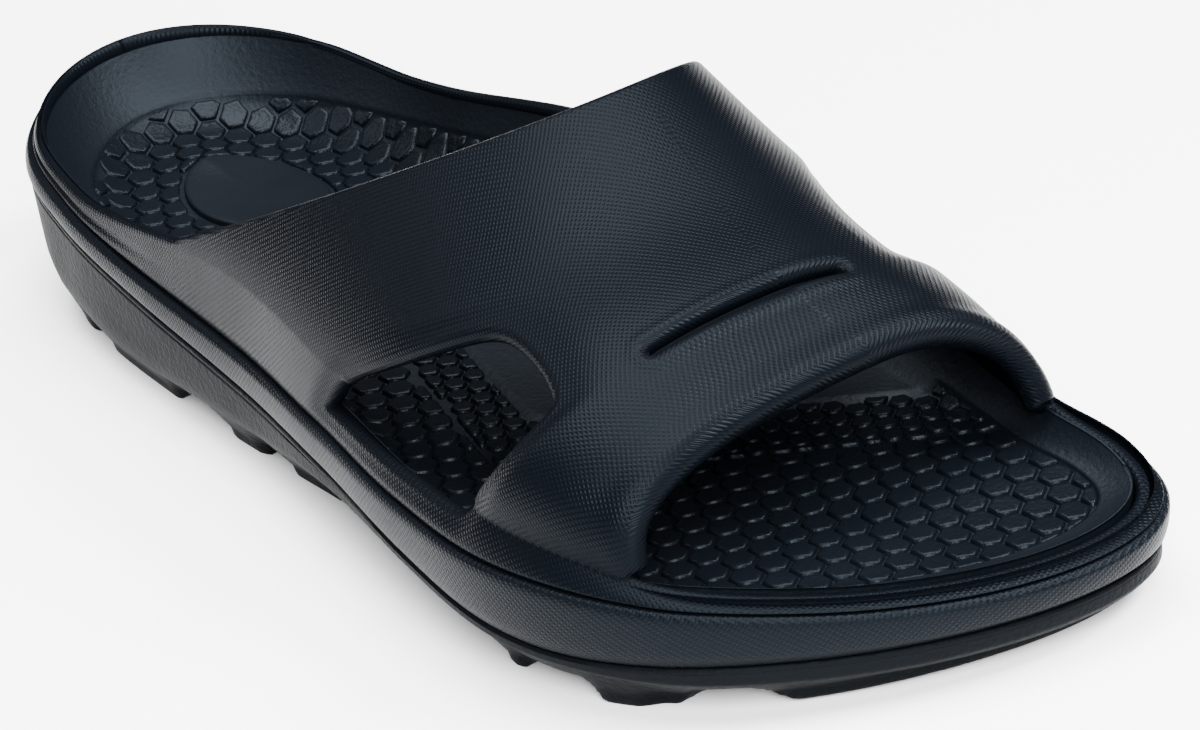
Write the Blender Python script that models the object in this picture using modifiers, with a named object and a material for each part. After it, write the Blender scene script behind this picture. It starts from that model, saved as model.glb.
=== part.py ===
"""Sport slide sandal, one right shoe, standing unbent on its own sole.

The shoe is four moulded pieces: a lugged outsole cup, a midsole with its side band,
a cupped footbed, and an upper that is the rim and the strap moulded in one.

Axes: toe along +X, little-toe side along -Y, +Z up, the floor at z = 0.
A share runs from 0 at the back of the heel to 1 at the tip of the toe.
"""
import bpy
import bmesh
import numpy as np

# Driving sizes, in metres
LENGTH = 0.290            # outline length, heel to toe
BALL_WIDTH = 0.115        # outline width that the outline table's columns are shares of half of
LINE_HEIGHT = 0.0315      # floor to the parting line of the outsole, at the unit row
BAND_HEIGHT = 0.0105      # side band of the midsole, at the unit row
RIM_RISE = 0.0060         # rim above the band, at the unit row
STRAP_HEIGHT = 0.0790     # floor to the middle of the strap wall at the collar
STRAP_WALL = 0.0038       # wall of the strap and of the rim
SEAT_HEIGHT = 0.0220      # floor to the top of the footbed under the heel
FOOTBED_WALL = 0.0050     # footbed material under the seat
LUG_DEPTH = 0.0050        # height unit of the lugs: the sole wall's lower edge is given by it
LUG_INSET = 0.0050        # how far the lugs stand in from the sole wall
HEEL_LIFT = 0.0030        # rise of the tread at the back of the heel
TOE_SPRING = 0.0015       # rise of the tread at the toe tip
HEEL_TAPER = 0.0040       # how far the back wall draws in above the lugs
LUG_SHOULDER = 0.55       # height of the lugs' own sides, as a share of LUG_DEPTH
GAP_HEIGHT = 0.80         # height of the gaps between the lugs, as a share of LUG_DEPTH
GAP_SLOPE = 0.25          # slope of the gaps' ends, as a share of their length
FOOT_INSET = 0.30         # how far in the wall's lower edge is, as a share of LUG_INSET
BELLY_INSET = 0.10        # how far in the wall is at its belly, as a share of LUG_INSET
BELLY_TAPER = 0.40        # what is left there of the back wall's draw, as a share
BELLY_HEIGHT = 0.30       # height of the belly, as a share of the wall
CUP_WALL = 0.0060         # outsole wall around the midsole
CUP_FLOOR = 0.0100        # floor to the inside of the outsole cup
RIM_INSET = 0.0028        # how far the top of the rim leans in from the outline
BOWL_WIDTH = 0.0200       # width of the footbed's rising edge at the heel
SLOT_WIDTH = 0.0034       # vent slot across the strap
SLOT_LENGTH = 0.0450
GAP = 0.0003              # clearance between pieces
BAND_FLARE = 0.0016       # how far the band stands out at the toe, and in at the heel
BAND_GROOVE = 0.0004      # depth of the groove between the outsole and the band
EDGE_ROUND = 0.0008       # rounding of the band's and the footbed's upper edge
BED_SINK = 0.0012         # how far the footbed's own wall reaches below the band's top
BED_DRAFT = 0.0006        # how much the footbed narrows below its wall
CUP_DRAFT = 0.0010        # how much the cup narrows towards its floor
UNDER_BED = 0.0045        # midsole left under the footbed, at least
UNDER_LINE = 0.0025       # cup floor and sole wall's lower edge below the parting line, at least
CUP_BOTTOM = 0.0018       # outsole left under the cup where the arch cuts in, at least
LUG_TAPER = 0.0020        # how much the lugs narrow towards the floor
BED_PLAY = 0.0008         # extra room that the footbed's edge has inside the leaning rim
BOWL_TAPER = 0.90         # how much narrower the rising edge is at the toe, as a share
BOWL_LEAST = 0.42         # its least width, as a share of its width at the heel
MIDDLE_REACH = 0.13       # share at which the foot's middle line starts, and ends before the toe

# The footbed's edge stands just inside the rim
FOOTBED_INSET = RIM_INSET + STRAP_WALL + GAP + BED_PLAY

# Mesh density
STRAP_STEPS = 18          # stations of each side under the strap, one hoop between each pair
TOE_STEPS = 12            # stations from the strap to the toe tip on each side
HEEL_STEPS = 17           # stations from the heel to the strap on each side
HOOP_STEPS = 11           # points on each half of a hoop

# Sole outline: share, centre line, half width by the sine of the station angle,
# the last two as shares of half the ball width
OUTLINE = [
    (0.00, 0.020, 1.200),
    (0.07, 0.000, 1.130),
    (0.16, -0.010, 0.972),
    (0.28, -0.040, 0.845),
    (0.42, -0.040, 0.835),
    (0.55, -0.085, 0.905),
    (0.67, -0.145, 1.015),
    (0.78, -0.185, 1.130),
    (0.88, -0.110, 1.245),
    (0.94, 0.060, 1.345),
    (1.00, 0.290, 1.470),
]

# Side of the shoe: share, parting line by LINE_HEIGHT, band by BAND_HEIGHT, rim by RIM_RISE,
# footbed seat by SEAT_HEIGHT, footbed edge by RIM_RISE, lower edge of the sole wall by LUG_DEPTH,
# inset of the lugs' sides by LUG_INSET
SIDE = [
    (0.0, 1.142, 0.350, 0.320, 1.12, 0.25, 2.60, 1.00),
    (0.1, 0.985, 0.400, 0.600, 1.00, 0.52, 2.30, 1.00),
    (0.2, 0.838, 0.450, 0.920, 1.01, 0.80, 1.65, 1.00),
    (0.4, 0.626, 0.717, 2.600, 1.10, 1.10, 1.85, 1.15),
    (0.6, 0.554, 0.865, 2.300, 1.02, 0.90, 2.85, 2.60),
    (0.8, 0.358, 1.280, 1.230, 0.90, 0.55, 1.80, 1.00),
    (0.9, 0.348, 1.046, 0.567, 0.88, 0.35, 1.35, 1.00),
    (1.0, 0.300, 0.635, 0.480, 0.80, 0.30, 0.75, 1.00),
]
LINE, BAND, RIM, SEAT, BED_EDGE, FOOT, LUG_SIDE = range(1, 8)

# Shares at which the heel of the tread starts to touch the floor and the toe leaves it
HEEL_ROLL = 0.12
TOE_ROLL = 0.88

# Strap hoops, collar to toe opening: step, lateral share, medial share, ridge share,
# ridge height by STRAP_HEIGHT, ridge offset by half the ball width, lateral and medial roundness
HOOPS = [
    (0.000, 0.323, 0.415, 0.630, 1.000, 0.150, 2.05, 2.20),
    (0.333, 0.520, 0.580, 0.722, 0.840, 0.080, 2.40, 1.90),
    (0.667, 0.700, 0.712, 0.803, 0.745, 0.010, 2.50, 1.85),
    (1.000, 0.880, 0.895, 0.862, 0.605, 0.090, 2.80, 2.30),
]

# Side windows in the strap, seen from the side: share of length, height by STRAP_HEIGHT
WINDOW = [
    (0.560, 0.400),
    (0.744, 0.400),
    (0.775, 0.545),
    (0.786, 0.648),
    (0.766, 0.686),
    (0.735, 0.710),
    (0.704, 0.719),
    (0.690, 0.710),
    (0.637, 0.620),
    (0.584, 0.515),
]
WINDOW_REACH = 0.0330     # how far out from the middle plane the lateral window's cutter starts
MEDIAL_REACH = 0.0200     # the same for the medial window

# Gaps between the lugs: share at the back of the gap and at its front
LUG_GAPS = [
    (0.143, 0.160),
    (0.287, 0.342),
    (0.402, 0.420),
    (0.500, 0.732),
    (0.768, 0.822),
    (0.872, 0.912),
]

# Vent slot across the strap: share of length and offset from the middle, as its two ends
SLOT_ENDS = ((0.8025, -0.0332), (0.8102, 0.0120))


def along(rows, column, share):
    """Smooth value of a table column at a share: cubic pieces with averaged slopes."""
    at = np.array([row[0] for row in rows])
    value = np.array([row[column] for row in rows])
    slope = np.empty_like(value)
    slope[1:-1] = (value[2:] - value[:-2]) / (at[2:] - at[:-2])
    slope[0] = (value[1] - value[0]) / (at[1] - at[0])
    slope[-1] = (value[-1] - value[-2]) / (at[-1] - at[-2])
    share = np.clip(share, at[0], at[-1])
    i = np.clip(np.searchsorted(at, share, side="right") - 1, 0, len(at) - 2)
    span = at[i + 1] - at[i]
    u = (share - at[i]) / span
    start = value[i] * (1 + 2 * u) * (1 - u) ** 2 + slope[i] * span * u * (1 - u) ** 2
    end = value[i + 1] * u * u * (3 - 2 * u) + slope[i + 1] * span * u * u * (u - 1)
    return start + end


def share_at(angle):
    """Share along the length at a station angle, 0 at the heel and pi at the toe."""
    return (1 - np.cos(angle)) / 2


def angle_at(share, medial):
    """Station angle of a share on the lateral or on the medial side."""
    angle = np.arccos(1 - 2 * np.asarray(share, float))
    return 2 * np.pi - angle if medial else angle


def stations():
    """Station angles of every ring, round from the heel: a side's strap stations carry the hoops."""
    step = np.linspace(0, 1, STRAP_STEPS + 1)
    lateral = angle_at(along(HOOPS, 1, step), False)
    medial = angle_at(along(HOOPS, 2, step), True)
    parts = [np.linspace(0, lateral[0], HEEL_STEPS + 1)[:-1], lateral]
    parts.append(np.linspace(lateral[-1], np.pi, TOE_STEPS + 1)[1:])
    parts.append(np.linspace(np.pi, medial[-1], TOE_STEPS + 1)[1:-1])
    parts += [medial[::-1], np.linspace(medial[0], 2 * np.pi, HEEL_STEPS + 1)[1:-1]]
    return np.concatenate(parts)


def outline(angle):
    """Point of the sole outline at a station angle, seen from above."""
    share = share_at(angle)
    half = BALL_WIDTH / 2
    x = LENGTH * (share - 0.5)
    y = half * (along(OUTLINE, 1, share) - along(OUTLINE, 2, share) * np.sin(angle))
    return np.stack([x, y], -1)


def ring(angle, inset, height):
    """Points of the outline moved in by an inset and lifted to a height."""
    angle = np.asarray(angle, float)
    step = 1e-4
    way = outline(angle + step) - outline(angle - step)
    inward = np.stack([-way[:, 1], way[:, 0]], -1)
    inward /= np.linalg.norm(inward, axis=1, keepdims=True)
    flat = outline(angle) + inward * (np.zeros_like(angle) + inset)[:, None]
    return np.column_stack([flat, np.zeros_like(angle) + height])


def line_height(share):
    """Height of the parting line between the outsole and the band."""
    return LINE_HEIGHT * along(SIDE, LINE, share)


def band_top(share):
    """Height of the top of the midsole's band, where the upper starts."""
    return line_height(share) + BAND_HEIGHT * along(SIDE, BAND, share)


def rim_top(share):
    """Height of the rim's crest."""
    return band_top(share) + RIM_RISE * along(SIDE, RIM, share)


def tread_lift(share):
    """Height of the lugs' underside: flat on the floor between the heel's and the toe's roll."""
    heel = np.clip(1 - share / HEEL_ROLL, 0, 1)
    toe = np.clip((share - TOE_ROLL) / (1 - TOE_ROLL), 0, 1)
    return HEEL_LIFT * heel ** 2 + TOE_SPRING * toe ** 1.5


def band_flare(share):
    """How far the top of the band stands out from the outline."""
    return BAND_FLARE * (2 * share - 1)


def bed_edge(share):
    """Height of the footbed's outer edge."""
    return band_top(share) + RIM_RISE * along(SIDE, BED_EDGE, share)


def bed_floor(share):
    """Height of the footbed under the foot."""
    return SEAT_HEIGHT * along(SIDE, SEAT, share)


def middle_line(share):
    """Point of the foot's middle line that a station of the outline closes in on."""
    near = MIDDLE_REACH + (1 - 2 * MIDDLE_REACH) * share
    return np.stack([LENGTH * (near - 0.5), BALL_WIDTH / 2 * along(OUTLINE, 1, near)], -1)


def moved_in(angle, inset, distance, height):
    """Ring at an inset, moved a further distance towards the middle line and lifted to a height."""
    points = ring(angle, inset, height)
    way = middle_line(share_at(angle)) - points[:, :2]
    points[:, :2] += way / np.linalg.norm(way, axis=1, keepdims=True) * distance[:, None]
    return points


def closed_in(angle, inset, distance, fraction, height):
    """The same ring, moved on towards the middle line by a fraction of what is left."""
    points = moved_in(angle, inset, distance, height)
    points[:, :2] += (middle_line(share_at(angle)) - points[:, :2]) * fraction
    return points


def box_middle():
    """Middle of the shoe seen from above, from its widest rings."""
    angle = stations()
    flare = band_flare(share_at(angle))
    insets = (GAP, -0.5 * flare - BAND_GROOVE, -flare)
    widest = np.concatenate([ring(angle, inset, 0.0) for inset in insets])
    return (widest.min(axis=0) + widest.max(axis=0)) / 2


def new_object(name, verts, faces, collection):
    """Mesh object placed so that the shoe stands centred over the origin."""
    mesh = bpy.data.meshes.new(name)
    mesh.from_pydata([tuple(v) for v in verts], [], faces)
    mesh.validate()
    mesh.update()
    obj = bpy.data.objects.new(name, mesh)
    obj.location = -box_middle()
    collection.objects.link(obj)
    return obj


def stacked_body(name, rings, collection):
    """Closed body lofted through rings from its underside, out and up, to its top side."""
    count = len(rings[0])
    verts = np.concatenate(rings)
    faces = []
    for level in range(len(rings) - 1):
        low = level * count
        high = low + count
        for i in range(count):
            j = (i + 1) % count
            faces.append((low + i, low + j, high + j, high + i))
    for base, flip in ((0, True), ((len(rings) - 1) * count, False)):
        half = count // 2
        for i in range(half):
            a, b = base + i, base + i + 1
            c, d = base + (count - i - 1) % count, base + (count - i) % count
            face = [a, b, c, d]
            face = [v for k, v in enumerate(face) if v not in face[:k]]
            faces.append(tuple(reversed(face)) if flip else tuple(face))
    return new_object(name, verts, faces, collection)


def prism(name, profile, y0, y1, collection):
    """Cutter: a side-view outline of (x, z) points drawn out from y0 to y1."""
    count = len(profile)
    verts = [(x, y0, z) for x, z in profile] + [(x, y1, z) for x, z in profile]
    faces = [tuple(range(count)), tuple(range(2 * count - 1, count - 1, -1))]
    for i in range(count):
        j = (i + 1) % count
        faces.append((i, i + count, j + count, j))
    return cutter_from(new_object(name, verts, faces, collection))


def cutter_from(obj):
    """Set a mesh object up as a cutter that is never rendered."""
    work = bmesh.new()
    work.from_mesh(obj.data)
    bmesh.ops.recalc_face_normals(work, faces=work.faces)
    work.to_mesh(obj.data)
    work.free()
    obj.hide_render = True
    obj.display_type = "WIRE"
    return obj


def cut(obj, cutters):
    """Cut each of the cutters out of an object."""
    for cutter in cutters:
        modifier = obj.modifiers.new(cutter.name, "BOOLEAN")
        modifier.operation = "DIFFERENCE"
        modifier.solver = "EXACT"
        modifier.object = cutter


def material(name, colour, roughness):
    """Plain foam of one colour."""
    mat = bpy.data.materials.new(name)
    mat.use_nodes = True
    shader = mat.node_tree.nodes["Principled BSDF"]
    shader.inputs["Base Color"].default_value = (*colour, 1.0)
    shader.inputs["Roughness"].default_value = roughness
    shader.inputs["Metallic"].default_value = 0.0
    mat.diffuse_color = (*colour, 1.0)
    return mat


def finish(obj, mat):
    """Give an object its material, outward faces and smooth shading with sharp edges."""
    obj.data.materials.append(mat)
    work = bmesh.new()
    work.from_mesh(obj.data)
    bmesh.ops.recalc_face_normals(work, faces=work.faces)
    work.to_mesh(obj.data)
    work.free()
    obj.data.shade_smooth()
    obj.data.set_sharp_from_angle(angle=np.radians(40))


def build_outsole(angle, shoe, cutters):
    """Cup-shaped outsole: lugs below, a wall up to the parting line, a hollow for the midsole."""
    share = share_at(angle)
    line = line_height(share)
    lift = tread_lift(share)
    foot = np.minimum(lift + LUG_DEPTH * along(SIDE, FOOT, share), line - UNDER_LINE)
    shoulder = lift + LUG_SHOULDER * LUG_DEPTH
    taper = HEEL_TAPER * np.clip(1 - share / HEEL_ROLL, 0, 1)
    lug_side = LUG_INSET * along(SIDE, LUG_SIDE, share) + 0.5 * taper
    foot_inset = FOOT_INSET * LUG_INSET + taper
    tread = lug_side + LUG_TAPER
    none = np.zeros_like(angle)
    rings = [closed_in(angle, tread, none, 0.85, lift), closed_in(angle, tread, none, 0.2, lift)]
    rings.append(ring(angle, tread, lift))
    rings.append(ring(angle, lug_side, shoulder))
    under = np.minimum(0.5 * (shoulder + foot), cup_floor(share) - CUP_BOTTOM)
    rings.append(ring(angle, 0.5 * (lug_side + foot_inset), under))
    rings.append(ring(angle, foot_inset, foot))
    belly = BELLY_INSET * LUG_INSET + BELLY_TAPER * taper
    rings.append(ring(angle, belly, foot + BELLY_HEIGHT * (line - foot)))
    rings.append(ring(angle, GAP, line - GAP / 2))
    rings.append(ring(angle, CUP_WALL, line - GAP / 2))
    rings.append(ring(angle, CUP_WALL + CUP_DRAFT, cup_floor(share)))
    rings += [closed_in(angle, CUP_WALL + CUP_DRAFT, none, part, cup_floor(share)) for part in (0.5, 0.85)]
    outsole = stacked_body("outsole", rings, shoe)
    for number, (back, front) in enumerate(LUG_GAPS):
        x0 = LENGTH * (back - 0.5)
        x1 = LENGTH * (front - 0.5)
        slope = GAP_SLOPE * (x1 - x0)
        height = GAP_HEIGHT * LUG_DEPTH
        profile = [(x0 - slope, -height), (x1 + slope, -height), (x1 - slope, height), (x0 + slope, height)]
        cut(outsole, [prism(f"lug_gap_{number + 1}", profile, -BALL_WIDTH, BALL_WIDTH, cutters)])
    return outsole


def cup_floor(share):
    """Inside bottom of the outsole cup, kept under the footbed and under the parting line."""
    highest = np.minimum(bed_under(share) - UNDER_BED, line_height(share) - UNDER_LINE)
    return np.minimum(CUP_FLOOR, highest)


def bed_under(share):
    """Underside of the footbed along the middle of the foot."""
    return bed_floor(share) - FOOTBED_WALL


def build_midsole(angle, shoe):
    """Midsole: fills the outsole cup and carries the side band and the footbed."""
    share = share_at(angle)
    line = line_height(share)
    top = band_top(share)
    flare = band_flare(share)
    cup = CUP_WALL + CUP_DRAFT + GAP
    none = np.zeros_like(angle)
    rings = [closed_in(angle, cup, none, part, cup_floor(share) + GAP) for part in (0.85, 0.5)]
    rings.append(ring(angle, cup, cup_floor(share) + GAP))
    rings.append(ring(angle, CUP_WALL + GAP, line + GAP / 2))
    rings.append(ring(angle, BAND_GROOVE, line + GAP / 2))
    rings.append(ring(angle, -0.5 * flare - BAND_GROOVE, (line + top) / 2))
    rings.append(ring(angle, -flare, top - EDGE_ROUND))
    rings.append(ring(angle, EDGE_ROUND - flare, top - GAP / 2))
    rings.append(ring(angle, FOOTBED_INSET - GAP, top - GAP / 2))
    rings += bed_hollow(angle, FOOTBED_INSET - GAP, -GAP)
    return stacked_body("midsole", rings, shoe)


def bed_hollow(angle, inset, shift):
    """Rings of the dished face between the midsole and the footbed, moved by a shift in height."""
    share = share_at(angle)
    top = band_top(share) - BED_SINK
    depth = np.maximum(top - bed_under(share), 0.0)
    inset = inset + BED_DRAFT
    width = bowl_width(share)
    rings = [ring(angle, inset, top + shift)]
    for part in (0.4, 1.0):
        drop = depth * (1 - (1 - part) ** 2)
        rings.append(moved_in(angle, inset, part * width, top - drop + shift))
    rings.append(closed_in(angle, inset, width, 0.85, top - depth + shift))
    return rings


def bowl_width(share):
    """Width of the footbed's rising edge: wide at the heel, narrow under the strap and the toes."""
    return BOWL_WIDTH * np.clip(1.0 - BOWL_TAPER * share, BOWL_LEAST, 1.0)


def build_footbed(angle, shoe):
    """Cupped footbed: a thick edge that stands up inside the rim, a dished top and underside."""
    share = share_at(angle)
    edge = bed_edge(share)
    floor = bed_floor(share)
    width = bowl_width(share)
    inset = FOOTBED_INSET + EDGE_ROUND
    rings = list(reversed(bed_hollow(angle, FOOTBED_INSET, 0.0)))
    rings.append(ring(angle, FOOTBED_INSET, edge - 1.5 * EDGE_ROUND))
    rings.append(ring(angle, inset, edge))
    for part in (0.12, 0.3, 0.55, 0.8, 1.0):
        drop = (edge - floor) * (1 - (1 - part) ** 2.2)
        rings.append(moved_in(angle, inset, part * width, edge - drop))
    rings += [closed_in(angle, inset, width, part, floor) for part in (0.45, 0.85)]
    return stacked_body("footbed", rings, shoe)


def hoop_points(base, ridge, roundness):
    """Half a hoop from its base to the ridge, a quarter of a rounded box."""
    turn = np.linspace(0, np.pi / 2, HOOP_STEPS + 1)
    out = np.cos(turn) ** (2 / roundness)
    up = np.sin(turn) ** (2 / roundness)
    points = np.empty((HOOP_STEPS + 1, 3))
    points[:, 0] = base[0] + (ridge[0] - base[0]) * up
    points[:, 1] = ridge[1] + (base[1] - ridge[1]) * out
    points[:, 2] = base[2] + (ridge[2] - base[2]) * up
    return points


def build_upper(angle, shoe, cutters):
    """Upper: one shell with a rim all around and the strap's hoops across it."""
    share = share_at(angle)
    low = band_top(share) + GAP / 2
    top = rim_top(share)
    rise = top - low
    foot = 0.25 * RIM_INSET - band_flare(share)
    levels = [ring(angle, foot, low - STRAP_WALL), ring(angle, foot, low + 0.25 * rise)]
    levels.append(ring(angle, 0.5 * (foot + RIM_INSET), low + 0.7 * rise))
    levels.append(ring(angle, RIM_INSET, top))
    count = len(angle)
    verts = [tuple(p) for level in levels for p in level]
    faces = []
    for level in range(len(levels) - 1):
        for i in range(count):
            j = (i + 1) % count
            a, b = level * count, (level + 1) * count
            faces.append((a + i, a + j, b + j, b + i))
    rim = (len(levels) - 1) * count
    columns = []
    for k in range(STRAP_STEPS + 1):
        step = k / STRAP_STEPS
        lateral_id = rim + HEEL_STEPS + k
        medial_id = rim + count - HEEL_STEPS - k
        ridge = np.array([
            LENGTH * (along(HOOPS, 3, step) - 0.5),
            along(HOOPS, 5, step) * BALL_WIDTH / 2,
            along(HOOPS, 4, step) * STRAP_HEIGHT,
        ])
        near = hoop_points(np.array(verts[lateral_id]), ridge, along(HOOPS, 6, step))
        far = hoop_points(np.array(verts[medial_id]), ridge, along(HOOPS, 7, step))
        middle = list(near[1:]) + list(far[::-1][1:-1])
        ids = [lateral_id] + list(range(len(verts), len(verts) + len(middle))) + [medial_id]
        verts += [tuple(p) for p in middle]
        columns.append(ids)
    for k in range(STRAP_STEPS):
        for m in range(len(columns[0]) - 1):
            faces.append((columns[k][m], columns[k + 1][m], columns[k + 1][m + 1], columns[k][m + 1]))
    upper = new_object("upper", verts, faces, shoe)
    shell = upper.modifiers.new("wall", "SOLIDIFY")
    shell.thickness = STRAP_WALL
    shell.offset = -1.0
    shell.use_even_offset = True
    cut(upper, [sole_blank(angle, low, cutters)] + window_cutters(cutters) + [slot_cutter(cutters)])
    return upper


def sole_blank(angle, height, cutters):
    """Cutter that trims the underside of the shell to the top of the midsole's band."""
    none = np.zeros_like(angle)
    outer = -2 * STRAP_WALL
    inner = 3 * STRAP_WALL
    rings = [closed_in(angle, inner, none, 0.85, 0.0), ring(angle, outer, 0.0), ring(angle, outer, height)]
    rings += [ring(angle, inner, height), closed_in(angle, inner, none, 0.85, height)]
    return cutter_from(stacked_body("sole_blank", rings, cutters))


def window_cutters(cutters):
    """One window through each side of the strap, the medial one a mirror of the lateral one."""
    profile = [(LENGTH * (share - 0.5), STRAP_HEIGHT * height) for share, height in WINDOW]
    lateral = prism("window_lateral", profile, -BALL_WIDTH, -WINDOW_REACH, cutters)
    medial = prism("window_medial", profile, MEDIAL_REACH, BALL_WIDTH, cutters)
    return [lateral, medial]


def slot_cutter(cutters):
    """Narrow slot with round ends, cut straight down through the top of the strap."""
    (share_a, y_a), (share_b, y_b) = SLOT_ENDS
    a = np.array([LENGTH * (share_a - 0.5), y_a])
    b = np.array([LENGTH * (share_b - 0.5), y_b])
    way = (b - a) / np.linalg.norm(b - a)
    middle = (a + b) / 2
    reach = SLOT_LENGTH / 2 - SLOT_WIDTH / 2
    start = np.arctan2(way[1], way[0])
    turn = np.linspace(-np.pi / 2, np.pi / 2, 5)
    points = []
    for end, offset in ((1, 0.0), (-1, np.pi)):
        for t in turn:
            radial = np.array([np.cos(start + offset + t), np.sin(start + offset + t)])
            points.append(middle + end * way * reach + radial * SLOT_WIDTH / 2)
    low, high = 0.5 * STRAP_HEIGHT, 1.2 * STRAP_HEIGHT
    count = len(points)
    verts = [(*p, low) for p in points] + [(*p, high) for p in points]
    faces = [tuple(range(count)), tuple(range(2 * count - 1, count - 1, -1))]
    for i in range(count):
        j = (i + 1) % count
        faces.append((i, i + count, j + count, j))
    return cutter_from(new_object("vent_slot", verts, faces, cutters))


def clear_scene():
    """Remove every object that the scene starts with."""
    for obj in list(bpy.data.objects):
        bpy.data.objects.remove(obj, do_unlink=True)


def main():
    clear_scene()
    shoe = bpy.data.collections.new("slide_sandal")
    cutters = bpy.data.collections.new("cutters")
    bpy.context.scene.collection.children.link(shoe)
    bpy.context.scene.collection.children.link(cutters)
    angle = stations()
    foam = material("black_foam", (0.012, 0.015, 0.020), 0.50)
    rough_foam = material("rough_black_foam", (0.014, 0.017, 0.022), 0.70)
    bed_foam = material("footbed_foam", (0.011, 0.014, 0.018), 0.60)
    finish(build_outsole(angle, shoe, cutters), rough_foam)
    finish(build_midsole(angle, shoe), foam)
    finish(build_footbed(angle, shoe), bed_foam)
    finish(build_upper(angle, shoe, cutters), foam)


main()
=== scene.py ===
import math

import bpy
import numpy as np
from mathutils import Matrix, Vector


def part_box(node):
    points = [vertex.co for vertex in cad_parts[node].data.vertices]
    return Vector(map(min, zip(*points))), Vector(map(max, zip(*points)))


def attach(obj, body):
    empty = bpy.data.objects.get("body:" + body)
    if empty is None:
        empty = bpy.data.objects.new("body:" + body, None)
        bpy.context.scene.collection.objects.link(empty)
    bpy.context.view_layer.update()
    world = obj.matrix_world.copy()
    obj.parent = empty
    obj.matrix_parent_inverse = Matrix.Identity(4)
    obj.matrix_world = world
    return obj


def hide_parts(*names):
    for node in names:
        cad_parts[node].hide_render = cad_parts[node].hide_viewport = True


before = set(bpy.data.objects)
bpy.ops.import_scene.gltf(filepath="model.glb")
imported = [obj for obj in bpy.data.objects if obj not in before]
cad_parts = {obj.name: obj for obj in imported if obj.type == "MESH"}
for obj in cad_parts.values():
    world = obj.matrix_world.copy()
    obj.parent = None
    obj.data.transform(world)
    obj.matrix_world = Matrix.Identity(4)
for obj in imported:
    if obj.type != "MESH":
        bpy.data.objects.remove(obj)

bl_info = {
    "name": "Slide Sandal Builder",
    "version": (1, 0, 0),
    "blender": (4, 5, 0),
    "location": "View3D > Sidebar > Slide",
    "description": "Builds a moulded slide sandal round its packed solids: sole, band, footbed and strap",
    "category": "Object",
}

# Sole outline: share of length, centre line and half width by half the ball width
OUTLINE = [
    (0.00, 0.020, 1.200),
    (0.07, 0.000, 1.130),
    (0.16, -0.010, 0.972),
    (0.28, -0.040, 0.845),
    (0.42, -0.040, 0.835),
    (0.55, -0.085, 0.905),
    (0.67, -0.145, 1.015),
    (0.78, -0.185, 1.130),
    (0.88, -0.110, 1.245),
    (0.94, 0.060, 1.345),
    (1.00, 0.290, 1.470),
]

# Side of the shoe: share, parting line by line height, band by band height, rim by rim rise,
# footbed seat by seat height, footbed edge by rim rise, lower edge of the sole wall by lug depth,
# inset of the lugs' sides by lug inset
SIDE = [
    (0.0, 1.142, 0.350, 0.320, 1.12, 0.25, 2.60, 1.00),
    (0.1, 0.985, 0.400, 0.600, 1.00, 0.52, 2.30, 1.00),
    (0.2, 0.838, 0.450, 0.920, 1.01, 0.80, 1.65, 1.00),
    (0.4, 0.626, 0.717, 2.600, 1.10, 1.10, 1.85, 1.15),
    (0.6, 0.554, 0.865, 2.300, 1.02, 0.90, 2.85, 2.60),
    (0.8, 0.358, 1.280, 1.230, 0.90, 0.55, 1.80, 1.00),
    (0.9, 0.348, 1.046, 0.567, 0.88, 0.35, 1.35, 1.00),
    (1.0, 0.300, 0.635, 0.480, 0.80, 0.30, 0.75, 1.00),
]
LINE, BAND, RIM, SEAT, BED_EDGE, FOOT, LUG_SIDE = range(1, 8)

# Strap hoops, collar to toe opening: step, lateral share, medial share, ridge share,
# ridge height by strap height, ridge offset by half the ball width, lateral and medial roundness
HOOPS = [
    (0.000, 0.323, 0.415, 0.630, 1.000, 0.150, 2.05, 2.20),
    (0.333, 0.520, 0.580, 0.722, 0.840, 0.080, 2.40, 1.90),
    (0.667, 0.700, 0.712, 0.803, 0.745, 0.010, 2.50, 1.85),
    (1.000, 0.880, 0.895, 0.862, 0.605, 0.090, 2.80, 2.30),
]

# Side windows, seen from the side: share of length, height by strap height
WINDOW = [
    (0.560, 0.400),
    (0.744, 0.400),
    (0.775, 0.545),
    (0.786, 0.648),
    (0.766, 0.686),
    (0.735, 0.710),
    (0.704, 0.719),
    (0.690, 0.710),
    (0.637, 0.620),
    (0.584, 0.515),
]

# Gaps between the lugs: share at the back of the gap and at its front
LUG_GAPS = [
    (0.143, 0.160),
    (0.287, 0.342),
    (0.402, 0.420),
    (0.500, 0.732),
    (0.768, 0.822),
    (0.872, 0.912),
]

# Vent slot across the strap: share of length and offset from the middle, as its two ends
SLOT_ENDS = ((0.8025, -0.0332), (0.8102, 0.0120))

# Panel of pads on the footbed: share, inset from the outline on the lateral and the medial side
PANEL = [
    (0.00, 0.0135, 0.0135),
    (0.10, 0.0130, 0.0110),
    (0.25, 0.0115, 0.0085),
    (0.45, 0.0100, 0.0080),
    (0.60, 0.0095, 0.0085),
    (0.80, 0.0085, 0.0090),
    (0.92, 0.0085, 0.0105),
    (1.00, 0.0090, 0.0110),
]

# Smooth part of the footbed at the arch, open to the big-toe side: the two ends of each edge, the smooth
# part on their left, and the width of the smaller pads along it
ARCH_EDGES = [
    ((-0.030, 0.035), (-0.005, -0.013), 0.0120),
    ((-0.005, -0.013), (0.036, -0.024), 0.0115),
    ((0.036, -0.024), (0.070, 0.020), 0.0175),
]

# Heel oval: share of length at its middle, half its length and half its width
OVAL_SHARE, OVAL_LENGTH, OVAL_WIDTH = 0.185, 0.0195, 0.0127

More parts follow.
